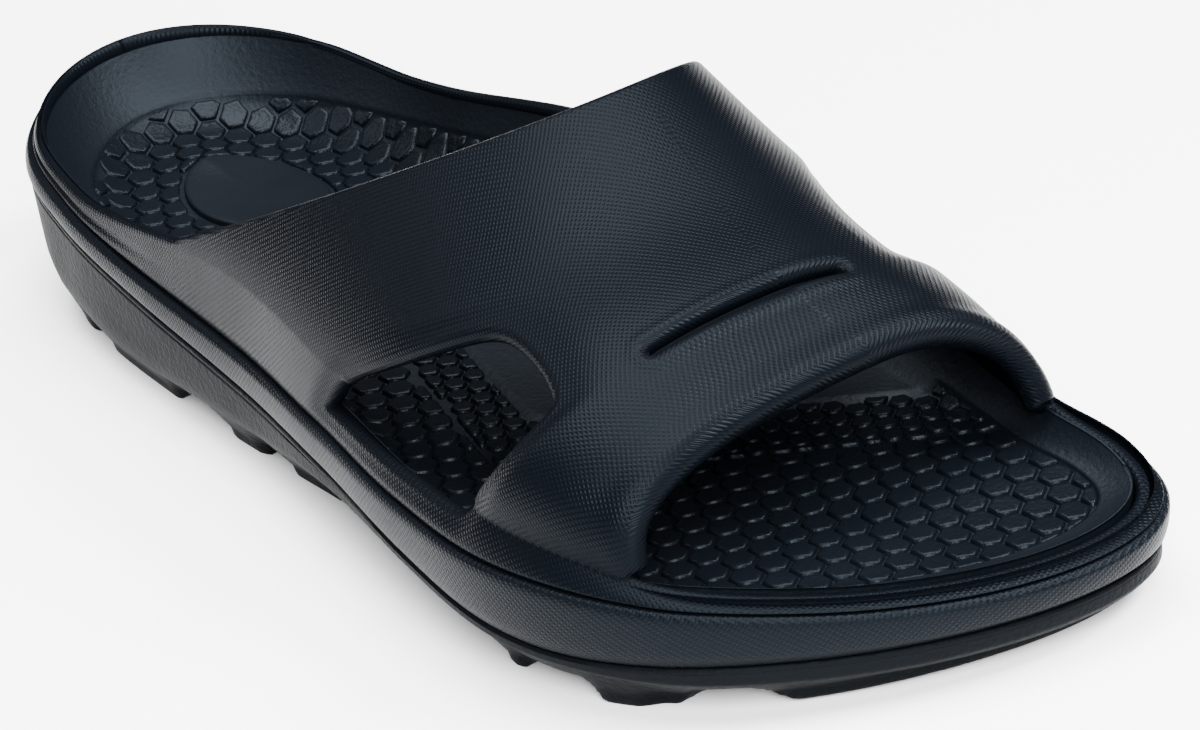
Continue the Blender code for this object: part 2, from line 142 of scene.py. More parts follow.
# Lugs: shoulder by lug height, insets of the wall's foot and belly by lug inset, belly's height by the
# wall's, slope of a gap by its width and its longest slope, gap's least distance under the wall
LUG_SHOULDER, FOOT_INSET, BELLY_INSET, BELLY_HEIGHT = 0.55, 0.3, 0.1, 0.3
GAP_SLOPE, GAP_SLOPE_MOST, GAP_ROOF = 0.25, 0.012, 0.0006

# Pads: gap to the next one on each side, corner reach, margin to the panel's edge, least part that stays
PAD_GAP, PAD_CORNER, PAD_MARGIN, PAD_LEAST = 0.00026, 0.985, 0.0004, 0.28

# Thickness of the footbed, and how far under its top the midsole ends
BED_THICKNESS, BED_CLEARANCE = 0.0050, 0.0056

# Stations round the sole; levels of the rim, hoops of the strap, points on a hoop, stations at heel and toe
STATIONS = 720
RIM_LEVELS, HOOP_COUNT, HOOP_POINTS, HEEL_POINTS, TOE_POINTS = 22, 151, 185, 100, 64
LIP_ROWS = 8

# Lights: place, size and power
LIGHTS = {
    "top": ((-0.10, 0.10, 1.6), 1.2, 120.0),
    "side": ((-0.7, -0.5, 0.75), 0.5, 4.5),
    "back": ((0.51, 0.63, 0.90), 0.40, 40.0),
    "front": ((1.0, -0.50, 0.85), 0.7, 75.0),
}

# Camera: target, compass angle, height and roll in degrees, distance, lens in millimetres
TARGET = (0.0327, -0.0053, 0.025)
AZIMUTH, ELEVATION, ROLL, DISTANCE, LENS = 56.6, 25.95, -7.98, 0.917, 150


class SlideSizes(bpy.types.PropertyGroup):
    """Driving sizes of the shoe."""
    length: bpy.props.FloatProperty(
        name="Length", description="Outline length, heel to toe", default=0.290, unit="LENGTH")
    ball_width: bpy.props.FloatProperty(
        name="Ball width", description="Width that the outline table's shares are taken of", default=0.115,
        unit="LENGTH")
    line_height: bpy.props.FloatProperty(
        name="Parting line", description="Floor to the top of the outsole wall", default=0.0315,
        unit="LENGTH")
    band_height: bpy.props.FloatProperty(
        name="Band", description="Height of the midsole's side band", default=0.0105, unit="LENGTH")
    band_flare: bpy.props.FloatProperty(
        name="Band flare", description="How far the band stands out at the toe and in at the heel",
        default=0.0016, unit="LENGTH")
    rim_rise: bpy.props.FloatProperty(
        name="Rim", description="Rise of the rim above the band", default=0.0060, unit="LENGTH")
    rim_inset: bpy.props.FloatProperty(
        name="Rim lean", description="How far the rim leans in at its top", default=0.0028, unit="LENGTH")
    wall: bpy.props.FloatProperty(
        name="Strap wall", description="Thickness of the strap and the rim", default=0.0038, unit="LENGTH")
    strap_height: bpy.props.FloatProperty(
        name="Strap height", description="Floor to the highest point of the strap", default=0.0790,
        unit="LENGTH")
    seat_height: bpy.props.FloatProperty(
        name="Seat", description="Floor to the footbed under the heel", default=0.0220, unit="LENGTH")
    bowl_width: bpy.props.FloatProperty(
        name="Bowl", description="Width of the footbed's rising edge at the heel", default=0.0200,
        unit="LENGTH")
    lug_depth: bpy.props.FloatProperty(
        name="Lugs", description="Height unit of the lugs", default=0.0050, unit="LENGTH")
    lug_inset: bpy.props.FloatProperty(
        name="Lug inset", description="How far the lugs stand in from the sole wall", default=0.0048,
        unit="LENGTH")
    cup_floor: bpy.props.FloatProperty(
        name="Cup floor", description="Floor to the inside of the outsole cup", default=0.0100, unit="LENGTH")
    rim_wall: bpy.props.FloatProperty(
        name="Rim wall", description="Thickness of the rim away from the strap", default=0.0026,
        unit="LENGTH")
    slot_width: bpy.props.FloatProperty(
        name="Slot", description="Width of the vent slot", default=0.0034, unit="LENGTH")
    pad_height: bpy.props.FloatProperty(
        name="Pad height", description="Height of the footbed's raised pads", default=0.0009, unit="LENGTH")
    gap: bpy.props.FloatProperty(
        name="Gap", description="Clearance between the pieces", default=0.0003, unit="LENGTH")
    pad_pitch: bpy.props.FloatProperty(
        name="Pad pitch", description="Distance between the raised pads of the footbed", default=0.0061,
        unit="LENGTH")


class SlideColours(bpy.types.PropertyGroup):
    """Colours of the foams, as linear shares of red, green and blue."""
    upper: bpy.props.FloatVectorProperty(
        name="Upper", description="Foam of the rim and the strap", default=(0.0010, 0.0014, 0.0022),
        subtype="COLOR")
    band: bpy.props.FloatVectorProperty(
        name="Side band", description="Foam of the midsole's band", default=(0.0012, 0.0017, 0.0026),
        subtype="COLOR")
    outsole: bpy.props.FloatVectorProperty(
        name="Outsole", description="Rough foam of the wall and the lugs", default=(0.0014, 0.0017, 0.0022),
        subtype="COLOR")
    footbed: bpy.props.FloatVectorProperty(
        name="Footbed", description="Grained foam of the bed", default=(0.0012, 0.0017, 0.0027),
        subtype="COLOR")
    pads: bpy.props.FloatVectorProperty(
        name="Pads", description="Foam of the raised pads", default=(0.0013, 0.0018, 0.0027), subtype="COLOR")
    oval: bpy.props.FloatVectorProperty(
        name="Heel oval", description="Foam of the plain oval", default=(0.0014, 0.0020, 0.0030),
        subtype="COLOR")


def sizes():
    """The shoe's sizes as the panel shows them."""
    return bpy.context.scene.slide_sizes


def colours():
    """The foams' colours as the panel shows them."""
    return bpy.context.scene.slide_colours


def along(rows, column, share):
    """Smooth value of a table column at a share: cubic pieces with averaged slopes."""
    at = np.array([row[0] for row in rows])
    value = np.array([row[column] for row in rows])
    slope = np.empty_like(value)
    slope[1:-1] = (value[2:] - value[:-2]) / (at[2:] - at[:-2])
    slope[0] = (value[1] - value[0]) / (at[1] - at[0])
    slope[-1] = (value[-1] - value[-2]) / (at[-1] - at[-2])
    share = np.clip(share, at[0], at[-1])
    i = np.clip(np.searchsorted(at, share, side="right") - 1, 0, len(at) - 2)
    span = at[i + 1] - at[i]
    u = (share - at[i]) / span
    start = value[i] * (1 + 2 * u) * (1 - u) ** 2 + slope[i] * span * u * (1 - u) ** 2
    end = value[i + 1] * u * u * (3 - 2 * u) + slope[i + 1] * span * u * u * (u - 1)
    return start + end


def share_at(angle):
    """Share along the length at a station angle, 0 at the heel and pi at the toe."""
    return (1 - np.cos(angle)) / 2


def angle_at(share, medial):
    """Station angle of a share on the lateral or on the medial side."""
    angle = np.arccos(1 - 2 * np.asarray(share, float))
    return 2 * np.pi - angle if medial else angle


def outline(angle):
    """Point of the sole outline at a station angle, seen from above."""
    s = sizes()
    share = share_at(angle)
    half = s.ball_width / 2
    x = s.length * (share - 0.5)
    y = half * (along(OUTLINE, 1, share) - along(OUTLINE, 2, share) * np.sin(angle))
    return np.stack([x, y], -1)


def ring(angle, inset, height):
    """Points of the outline moved in along its normal by an inset and lifted to a height."""
    angle = np.asarray(angle, float)
    way = outline(angle + 1e-4) - outline(angle - 1e-4)
    inward = np.stack([-way[:, 1], way[:, 0]], -1)
    inward /= np.linalg.norm(inward, axis=1, keepdims=True)
    flat = outline(angle) + inward * (np.zeros_like(angle) + inset)[:, None]
    return np.column_stack([flat, np.zeros_like(angle) + height])


def middle_line(share):
    """Point of the foot's middle line that a station closes in on."""
    s = sizes()
    near = 0.13 + 0.74 * share
    return np.stack([s.length * (near - 0.5), s.ball_width / 2 * along(OUTLINE, 1, near)], -1)


def moved_in(angle, inset, distance, height):
    """Ring at an inset, moved a further distance towards the middle line and lifted to a height."""
    points = ring(angle, inset, height)
    way = middle_line(share_at(angle)) - points[:, :2]
    points[:, :2] += way / np.linalg.norm(way, axis=1, keepdims=True) * (distance + 0 * angle)[:, None]
    return points


def closed_in(angle, inset, distance, fraction, height):
    """The same ring, moved on towards the middle line by a fraction of what is left."""
    points = moved_in(angle, inset, distance, height)
    fraction = (np.asarray(fraction) + 0 * angle)[:, None]
    points[:, :2] += (middle_line(share_at(angle)) - points[:, :2]) * fraction
    return points


def line_height(share):
    return sizes().line_height * along(SIDE, LINE, share)


def band_top(share):
    return line_height(share) + sizes().band_height * along(SIDE, BAND, share)


def rim_top(share):
    return band_top(share) + sizes().rim_rise * along(SIDE, RIM, share)


def band_flare(share):
    return sizes().band_flare * (2 * share - 1)


def bed_edge(share):
    return band_top(share) + sizes().rim_rise * along(SIDE, BED_EDGE, share)


def bed_floor(share):
    return sizes().seat_height * along(SIDE, SEAT, share)


def bowl_width(share):
    return sizes().bowl_width * np.clip(1.0 - 0.9 * share, 0.42, 1.0)


def tread_lift(share):
    """Height of the lugs' underside: on the floor but for the heel's and the toe's roll."""
    heel = np.clip(1 - share / 0.12, 0, 1)
    toe = np.clip((share - 0.88) / 0.12, 0, 1)
    return 0.003 * heel ** 2 + 0.0015 * toe ** 1.5


def cup_floor(share):
    """Inside bottom of the outsole cup, kept under the footbed and under the parting line."""
    highest = np.minimum(bed_floor(share) - 0.0095, line_height(share) - 0.0025)
    return np.minimum(sizes().cup_floor, highest)


def box_shift():
    """Offset from the outline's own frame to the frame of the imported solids."""
    low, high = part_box("midsole")
    angle = np.linspace(0, 2 * np.pi, 1441)
    flare = band_flare(share_at(angle))
    widest = np.concatenate([ring(angle, inset, 0.0) for inset in (-flare, -0.5 * flare - 0.0004)])
    middle = (widest.min(axis=0) + widest.max(axis=0)) / 2
    place = (np.array(low) + np.array(high)) / 2
    return np.array([place[0] - middle[0], place[1] - middle[1], 0.0])


def smooth_step(value, low, high):
    """0 below low, 1 above high and an S-curve between."""
    t = np.clip((value - low) / (high - low), 0, 1)
    return t * t * (3 - 2 * t)


def object_from(name, verts, faces, mat, node):
    """New mesh object at the origin, riding on the shoe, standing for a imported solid."""
    mesh = bpy.data.meshes.new(name)
    mesh.from_pydata(np.asarray(verts, float).tolist(), [], faces)
    mesh.update()
    mesh.shade_smooth()
    mesh.materials.append(mat)
    obj = bpy.data.objects.new(name, mesh)
    bpy.context.scene.collection.objects.link(obj)
    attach(obj, "root")
    if node:
        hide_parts(node)
    return obj


def store_skin(obj, skin):
    """Keeps surface coordinates in metres on the points, for weaves that follow the surface."""
    layer = obj.data.attributes.new("skin", "FLOAT_VECTOR", "POINT")
    layer.data.foreach_set("vector", np.asarray(skin, np.float32).ravel())


def wrapped_grid(rows, cols, row0=0, col_closed=True):
    """Quads of a grid whose columns wrap round."""
    i, j = np.meshgrid(np.arange(rows - 1), np.arange(cols if col_closed else cols - 1), indexing="ij")
    a = row0 + i * cols + j
    b = row0 + i * cols + (j + 1) % cols
    return np.stack([a, b, b + cols, a + cols], -1).reshape(-1, 4)


def ladder_cap(row, cols, flip):
    """Quads that close a ring of the grid straight across."""
    i = np.arange(cols // 2)
    quads = np.stack([row + i, row + i + 1, row + (cols - i - 1) % cols, row + (cols - i) % cols], -1)
    quads = quads[1:-1]
    ends = [[row, row + 1, row + cols - 1], [row + cols // 2 - 1, row + cols // 2, row + cols // 2 + 1]]
    faces = quads.tolist() + ends
    return [face[::-1] for face in faces] if flip else faces


def lofted(name, rings, mat, node):
    """Closed surface lofted through rings, first ring at the underside's middle, last on top.

    Its surface coordinates are the longest way round and the way across the rings.
    """
    cols = len(rings[0])
    verts = np.concatenate(rings) + box_shift()
    faces = wrapped_grid(len(rings), cols).tolist()
    faces += ladder_cap(0, cols, True) + ladder_cap((len(rings) - 1) * cols, cols, False)
    obj = object_from(name, verts, faces, mat, node)
    grid = np.stack(rings)
    around = np.cumsum(np.linalg.norm(np.diff(grid, axis=1, prepend=grid[:, -1:]), axis=2), axis=1)
    u = np.repeat(around.max(axis=0)[None], len(rings), axis=0)
    v = np.cumsum(np.linalg.norm(np.diff(grid, axis=0, prepend=grid[:1]), axis=2), axis=0)
    store_skin(obj, np.stack([u, v, 0 * u], -1).reshape(-1, 3))
    return obj


def profile_rings(angle, rows):
    """Rings of a loft from profile rows of (inset, fraction of the way in, height)."""
    return [closed_in(angle, inset, 0.0, fraction, height) for inset, fraction, height in rows]


def stations():
    """Station angles round the sole."""
    return np.linspace(0, 2 * np.pi, STATIONS + 1)[:-1]


def relax(rows, passes):
    """Smooths rows in place: in each pass an inner row moves halfway to the mean of its neighbours."""
    for _ in range(passes):
        rows[1:-1] += 0.25 * (rows[2:] - 2 * rows[1:-1] + rows[:-2])


# Materials


def nodes_of(name):
    """A new material, its node tree and its shader."""
    mat = bpy.data.materials.new(name)
    mat.use_nodes = True
    tree = mat.node_tree
    return mat, tree, tree.nodes["Principled BSDF"]


def add(tree, kind, **values):
    """Adds a node and sets its properties and inputs by name."""
    node = tree.nodes.new(kind)
    for key, value in values.items():
        if key in node.inputs.keys():
            node.inputs[key].default_value = value
        else:
            setattr(node, key, value)
    return node


def math_node(tree, operation, a, b=None):
    """Math node with sockets or numbers as its inputs; returns its output."""
    node = tree.nodes.new("ShaderNodeMath")
    node.operation = operation
    for socket, value in zip(node.inputs, (a, b)):
        if value is None:
            continue
        if hasattr(value, "node"):
            tree.links.new(value, socket)
        else:
            socket.default_value = value
    return node.outputs[0]


def weave_height(tree, vector, pitch):
    """Height of a fine basket weave: two sets of slanted ribs that take turns."""
    split = tree.nodes.new("ShaderNodeSeparateXYZ")
    tree.links.new(vector, split.inputs[0])
    turn = 2 * math.pi / pitch
    u = math_node(tree, "MULTIPLY", split.outputs[0], turn)
    v = math_node(tree, "MULTIPLY", split.outputs[1], turn)
    plus = math_node(tree, "SINE", math_node(tree, "ADD", u, v))
    minus = math_node(tree, "SINE", math_node(tree, "SUBTRACT", u, v))
    return math_node(tree, "MAXIMUM", plus, minus)


def foam(name, colour, roughness, level, grain, grain_height, weave=0.0, weave_pitch=0.0012):
    """Moulded foam: fine grain, an optional woven skin, and slow changes of gloss and tone.

    The grain is noise of a scale and a height in metres; the weave has a height and a pitch in metres.
    """
    spread, darker, lighter = 0.05, 0.88, 1.14
    mat, tree, shader = nodes_of(name)
    shader.inputs["IOR"].default_value = 1.48
    shader.inputs["Specular IOR Level"].default_value = level
    shader.inputs["Specular Tint"].default_value = (0.70, 0.85, 1.0, 1)
    place = add(tree, "ShaderNodeTexCoord").outputs["Object"]
    cloud = add(tree, "ShaderNodeTexNoise", Scale=28.0, Detail=3.0, Roughness=0.55)
    fine = add(tree, "ShaderNodeTexNoise", Scale=grain, Detail=2.0, Roughness=0.6)
    for node in (cloud, fine):
        tree.links.new(place, node.inputs["Vector"])
    gloss = add(tree, "ShaderNodeMapRange")
    for end, value in (("From Min", 0.3), ("From Max", 0.7), ("To Min", roughness - spread),
                       ("To Max", roughness + spread)):
        gloss.inputs[end].default_value = value
    tree.links.new(cloud.outputs[0], gloss.inputs["Value"])
    tree.links.new(gloss.outputs[0], shader.inputs["Roughness"])
    tint = add(tree, "ShaderNodeMix", data_type="RGBA")
    tint.inputs[6].default_value = (*[c * darker for c in colour], 1)
    tint.inputs[7].default_value = (*[c * lighter for c in colour], 1)
    tree.links.new(cloud.outputs[0], tint.inputs[0])
    tree.links.new(tint.outputs[2], shader.inputs["Base Color"])
    bump = add(tree, "ShaderNodeBump")
    bump.inputs["Strength"].default_value = 1.0
    bump.inputs["Distance"].default_value = grain_height
    tree.links.new(fine.outputs[0], bump.inputs["Height"])
    last = bump
    if weave:
        skin = add(tree, "ShaderNodeAttribute", attribute_name="skin")
        ribs = add(tree, "ShaderNodeBump")
        ribs.inputs["Strength"].default_value = 1.0
        ribs.inputs["Distance"].default_value = weave
        tree.links.new(weave_height(tree, skin.outputs["Vector"], weave_pitch), ribs.inputs["Height"])
        tree.links.new(bump.outputs[0], ribs.inputs["Normal"])
        last = ribs
    tree.links.new(last.outputs[0], shader.inputs["Normal"])
    mat.diffuse_color = (*colour, 1)
    return mat


class SLIDE_OT_outsole(bpy.types.Operator):
    """Build the outsole: lugs with scalloped sides under a rough wall"""
    bl_idname = "slide.outsole"
    bl_label = "Outsole"

    def execute(self, context):
        s = sizes()
        angle = stations()
        share = share_at(angle)
        line = line_height(share)
        lift = tread_lift(share)
        foot = np.minimum(lift + s.lug_depth * along(SIDE, FOOT, share), line - 0.0025)
        shoulder = lift + LUG_SHOULDER * s.lug_depth
        taper = 0.004 * np.clip(1 - share / 0.12, 0, 1)
        near_gap = np.zeros_like(angle)
        for back, front in LUG_GAPS:
            near_gap = np.maximum(near_gap, smooth_step(share, back - 0.016, back + 0.002)
                                  * smooth_step(-share, -front - 0.016, -front + 0.002))
        side = s.lug_inset * along(SIDE, LUG_SIDE, share) + 0.5 * taper + 0.0018 * near_gap
        edge = FOOT_INSET * s.lug_inset + taper
        belly = BELLY_INSET * s.lug_inset + 0.4 * taper
        tread = side + 0.0012
        shape = [(tread, fraction, lift) for fraction in (0.97, 0.8, 0.6, 0.4, 0.2, 0.1, 0.04, 0.0)]
        shape += [(tread - 0.0004, 0.0, lift + 0.0002), (tread - 0.0007, 0.0, lift + 0.0007)]
        shape += [(side + 0.0002, 0.0, shoulder - 0.0008), (side, 0.0, shoulder)]
        for part in (0.2, 0.4, 0.6, 0.8, 0.93):
            drop = shoulder + part * (foot - shoulder)
            shape.append((side + part * (edge - side), 0.0, np.minimum(drop, foot - 0.0004)))
        under = len(shape)
        for part in (0.02, 0.07, 0.14, 0.22, 0.3, 0.45, 0.6, 0.72):
            lean = belly + (edge - belly) * np.clip(1 - part / BELLY_HEIGHT, 0, 1) ** 2
            lean = lean + (0.0003 - belly) * np.clip((part - BELLY_HEIGHT) / (1 - BELLY_HEIGHT), 0, 1)
            shape.append((lean, 0.0, foot + part * (line - foot)))
        for drop, sink in ((0.0021, 0.0), (0.0018, 0.0), (0.0015, 0.0004), (0.0012, 0.0), (0.0007, 0.0),
                           (0.0003, 0.0003)):
            shape.append((0.0004 + sink, 0.0, np.maximum(line - drop, foot + 0.75 * (line - foot))))
        shape += [(s.gap + 0.0007, 0.0, line - s.gap / 2), (0.0060, 0.0, line - s.gap / 2)]
        shape += [(0.0070, fraction, cup_floor(share)) for fraction in (0.0, 0.5, 0.9)]
        rings = profile_rings(angle, shape)
        for points in rings[:under]:
            x_share = points[:, 0] / s.length + 0.5
            rise = np.zeros_like(angle)
            for back, front in LUG_GAPS:
                slope = min(GAP_SLOPE * (front - back), GAP_SLOPE_MOST)
                up = smooth_step(x_share, back - slope, back + slope)
                rise = np.maximum(rise, up * smooth_step(-x_share, -front - slope, -front + slope))
            points[:, 2] = np.maximum(points[:, 2], np.minimum(s.lug_depth * rise, foot - GAP_ROOF))
        rough = foam("rough_black_foam", colours().outsole, 0.58, 0.04, 900.0, 0.00026)
        lofted("outsole_body", rings, rough, "outsole")
        return {"FINISHED"}


class SLIDE_OT_midsole(bpy.types.Operator):
    """Build the midsole's side band with its groove"""
    bl_idname = "slide.midsole"
    bl_label = "Midsole"

    def execute(self, context):
        s = sizes()
        angle = stations()
        share = share_at(angle)
        line = line_height(share)
        top = band_top(share)
        flare = band_flare(share)
        floor = cup_floor(share) + s.gap
        shape = [(0.0073, fraction, floor) for fraction in (0.9, 0.5, 0.0)]
        shape += [(0.0063, 0.0, line + s.gap / 2), (0.0014, 0.0, line + s.gap / 2)]
        shape += [(0.0006, 0.0, line + 0.0003), (0.0003, 0.0, line + 0.0008)]
        for part in (0.2, 0.3, 0.45, 0.6, 0.75, 0.86):
            bulge = -flare * part - 0.0005 * np.sin(np.pi * part)
            shape.append((bulge, 0.0, line + part * (top - line)))
        shape += [(-flare + 0.0001, 0.0, top - 0.0009), (-flare + 0.0004, 0.0, top - 0.0004)]
        inner = bed_inset() - s.gap
        shape += [(0.0009 - flare, 0.0, top - s.gap / 2), (inner, 0.0, top - s.gap / 2)]
        shape += [(inner, 0.0, np.minimum(top - 0.0012, bed_edge(share) - 0.0055))]
        rings = profile_rings(angle, shape)
        for part in (0.15, 0.4, 0.7, 1.0, 1.5, 1.9):
            rings.append(bed_surface(angle, part) - np.array([0, 0, BED_CLEARANCE]))
        band = foam("band_foam", colours().band, 0.40, 0.045, 1100.0, 0.00004, 0.00004)
        lofted("midsole_band", rings, band, "midsole")
        return {"FINISHED"}


def panel_part(angle):
    """Part of the footbed's rise at which the panel of pads begins, by its inset from the outline."""
    share = share_at(angle)
    medial = 0.5 - 0.5 * np.tanh(np.sin(angle) * 4)
    inset = along(PANEL, 1, share) * (1 - medial) + along(PANEL, 2, share) * medial
    return np.clip((inset - bed_inset()) / bowl_width(share), 0.06, 0.9)


def bed_inset():
    """Distance from the outline to the footbed's outer edge, against the inside of the rim."""
    s = sizes()
    return s.rim_inset + s.rim_wall - 2 * s.gap


def bed_surface(angle, part):
    """Points of the footbed's top: part 0..1 is the rising edge, 1..2 the floor to the middle line."""
    share = share_at(angle)
    lateral = 0.5 + 0.5 * np.tanh(np.sin(angle) * 4)
    free = 1 - smooth_step(share, 0.30 + 0.06 * (1 - lateral), 0.46) + smooth_step(share, 0.86, 0.93)
    edge = bed_edge(share)
    edge = edge + (rim_top(share) - 0.0004 - edge) * free
    rise = np.clip(part, 0.0, 1.0)
    drop = (edge - bed_floor(share)) * (1 - (1 - rise) ** 2.2)
    fraction = np.clip(part - 1.0, 0, 1.03) * 0.97
    return closed_in(angle, bed_inset() - 0.0002, rise * bowl_width(share), fraction, edge - drop)


def bed_solve(x, y):
    """Station angle and part under each point of the footbed: Newton steps from the nearest sample."""
    some_angle, some_part = np.meshgrid(np.linspace(0, 2 * np.pi, 181)[:-1], np.linspace(0.02, 1.98, 25))
    some_angle, some_part = some_angle.ravel(), some_part.ravel()
    sample = bed_surface(some_angle, some_part)[:, :2]
    nearest = np.empty(len(x), int)
    for start in range(0, len(x), 2000):
        block = slice(start, start + 2000)
        dist = (x[block, None] - sample[None, :, 0]) ** 2 + (y[block, None] - sample[None, :, 1]) ** 2
        nearest[block] = dist.argmin(axis=1)
    angle, part = some_angle[nearest], some_part[nearest]
    tiny = 1e-4
    for _ in range(7):
        here = bed_surface(angle, part)[:, :2]
        by_angle = (bed_surface(angle + tiny, part)[:, :2] - here) / tiny
        by_part = (bed_surface(angle, part + tiny)[:, :2] - here) / tiny
        miss_x, miss_y = x - here[:, 0], y - here[:, 1]
        det = by_angle[:, 0] * by_part[:, 1] - by_angle[:, 1] * by_part[:, 0]
        det = np.where(np.abs(det) < 1e-7, 1e-7, det)
        angle = angle + np.clip((miss_x * by_part[:, 1] - miss_y * by_part[:, 0]) / det, -0.05, 0.05)
        part = part + np.clip((by_angle[:, 0] * miss_y - by_angle[:, 1] * miss_x) / det, -0.1, 0.1)
        part = np.clip(part, -0.2, 2.03)
    return angle, part


def bed_place(x, y):
    """Point and upward normal of the footbed's top, and the depth inside the panel of pads, at x, y."""
    angle, part = bed_solve(x, y)
    tiny = 1e-4
    here = bed_surface(angle, part)
    by_angle = bed_surface(angle + tiny, part) - here
    by_part = bed_surface(angle, part + tiny) - here
    normal = np.cross(by_part, by_angle)
    normal /= np.linalg.norm(normal, axis=1, keepdims=True) + 1e-12
    normal *= np.sign(normal[:, 2:3])
    depth = (part - panel_part(angle)) * bowl_width(share_at(angle))
    here[:, 0], here[:, 1] = x, y
    return here, normal, depth


def oval_depth(x, y, grow):
    """Distance outside the heel's plain oval, grown all round by a margin."""
    rx, ry = OVAL_LENGTH + grow, OVAL_WIDTH + grow
    reach = np.sqrt(((x - sizes().length * (OVAL_SHARE - 0.5)) / rx) ** 2 + (y / ry) ** 2)
    return (reach - 1) * 0.5 * (rx + ry)


def arch_depth(x, y, spread):
    """Depth inside the smooth part at the arch, grown by a share of each edge's width.

    It is the least distance inside its edges, rounded at the corners by a sum of exponentials.
    """
    soft = 0.002
    total = 0.0
    for a, b, width in ARCH_EDGES:
        way = np.array(b) - np.array(a)
        way /= np.linalg.norm(way)
        depth = way[0] * (y - a[1]) - way[1] * (x - a[0]) + spread * width
        total = total + np.exp(-np.clip(depth, -0.3, 0.3) / soft)
    return -soft * np.log(total)


def small_zone(x, y):
    """Above zero inside the strip round the smooth part, where the pads are smaller."""
    return np.minimum(arch_depth(x, y, 1.0), -arch_depth(x, y, 0.0))


def hex_cells(pitch, turn_by):
    """Centres of a honeycomb over the whole footbed, neighbours a pitch apart, one row along Y."""
    s = sizes()
    i, j = np.meshgrid(np.arange(-60, 61), np.arange(-40, 41), indexing="ij")
    x = i * pitch * math.sqrt(0.75)
    y = (j + 0.5 * (i % 2)) * pitch
    x, y = x.ravel(), y.ravel()
    c, d = math.cos(turn_by), math.sin(turn_by)
    x, y = c * x - d * y, d * x + c * y
    keep = (np.abs(x) < s.length / 2) & (np.abs(y) < 0.6 * s.ball_width)
    return x[keep], y[keep]


def pad_mesh(pitch, turn_by, zone, height):
    """Raised pads: honeycomb cells drawn in from the panel's edge, each a bevelled low mound.

    A cell has twelve rim points. Each rim point outside the zone is drawn back towards the cell's
    own inside part, so that cells on the edge are cut off along it.
    """
    cx, cy = hex_cells(pitch, turn_by)
    near = (bed_place(cx, cy)[2] > -0.6 * pitch) & (zone(cx, cy) > -0.6 * pitch)
    cx, cy = cx[near], cy[near]
    turn = np.arange(12) * np.pi / 6 + turn_by
    reach = np.where(np.arange(12) % 2 == 0, PAD_CORNER / math.sqrt(3), 0.5) * pitch - PAD_GAP
    ux, uy = np.cos(turn), np.sin(turn)
    rim_x = cx[:, None] + reach * ux
    rim_y = cy[:, None] + reach * uy

    def inside(x, y):
        depth = np.minimum(bed_place(x.ravel(), y.ravel())[2], zone(x.ravel(), y.ravel()))
        return depth.reshape(x.shape) - PAD_MARGIN

    probe_x = np.concatenate([cx[:, None], cx[:, None] + 0.5 * reach * ux, rim_x], axis=1)
    probe_y = np.concatenate([cy[:, None], cy[:, None] + 0.5 * reach * uy, rim_y], axis=1)
    within = inside(probe_x, probe_y)
    weight = (within > 0).astype(float)
    whole = weight.mean(axis=1) > PAD_LEAST
    weight, rim_x, rim_y, cx, cy = weight[whole], rim_x[whole], rim_y[whole], cx[whole], cy[whole]
    probe_x, probe_y = probe_x[whole], probe_y[whole]
    mx = (probe_x * weight).sum(axis=1) / weight.sum(axis=1)
    my = (probe_y * weight).sum(axis=1) / weight.sum(axis=1)
    low = np.zeros_like(rim_x)
    high = np.ones_like(rim_x)
    fits = inside(rim_x, rim_y) > 0
    for _ in range(6):
        half = 0.5 * (low + high)
        ok = inside(mx[:, None] + half * (rim_x - mx[:, None]),
                    my[:, None] + half * (rim_y - my[:, None])) > 0
        low = np.where(ok, half, low)
        high = np.where(ok, high, half)
    cut = np.where(fits, 1.0, low)
    rim_x = mx[:, None] + cut * (rim_x - mx[:, None])
    rim_y = my[:, None] + cut * (rim_y - my[:, None])
    rows = []
    for shrink, lift in ((0.0, -0.0003), (0.00016, 0.78 * height), (0.00050, height), (0.00095, height)):
        length = np.hypot(rim_x - mx[:, None], rim_y - my[:, None]) + 1e-9
        scale = np.clip(1 - shrink / length, 0.2, 1)
        x = mx[:, None] + (rim_x - mx[:, None]) * scale
        y = my[:, None] + (rim_y - my[:, None]) * scale
        points, normal, _ = bed_place(x.ravel(), y.ravel())
        rows.append((points + normal * (lift - height)).reshape(len(mx), 12, 3))
    points, normal, _ = bed_place(mx, my)
    top = (points + normal * 0.00002)[:, None, :]
    verts = np.concatenate(rows + [top], axis=1)
    count = len(mx)
    i = np.arange(12)
    j = (i + 1) % 12
    quads = np.concatenate([np.stack([i + 12 * r, j + 12 * r, j + 12 * (r + 1), i + 12 * (r + 1)], -1)
                            for r in range(3)])
    tris = np.stack([i + 36, j + 36, 0 * i + 48], -1)
    base = np.arange(count)[:, None, None] * 49
    faces = (base + quads[None]).reshape(-1, 4).tolist() + (base + tris[None]).reshape(-1, 3).tolist()
    return verts.reshape(-1, 3), faces


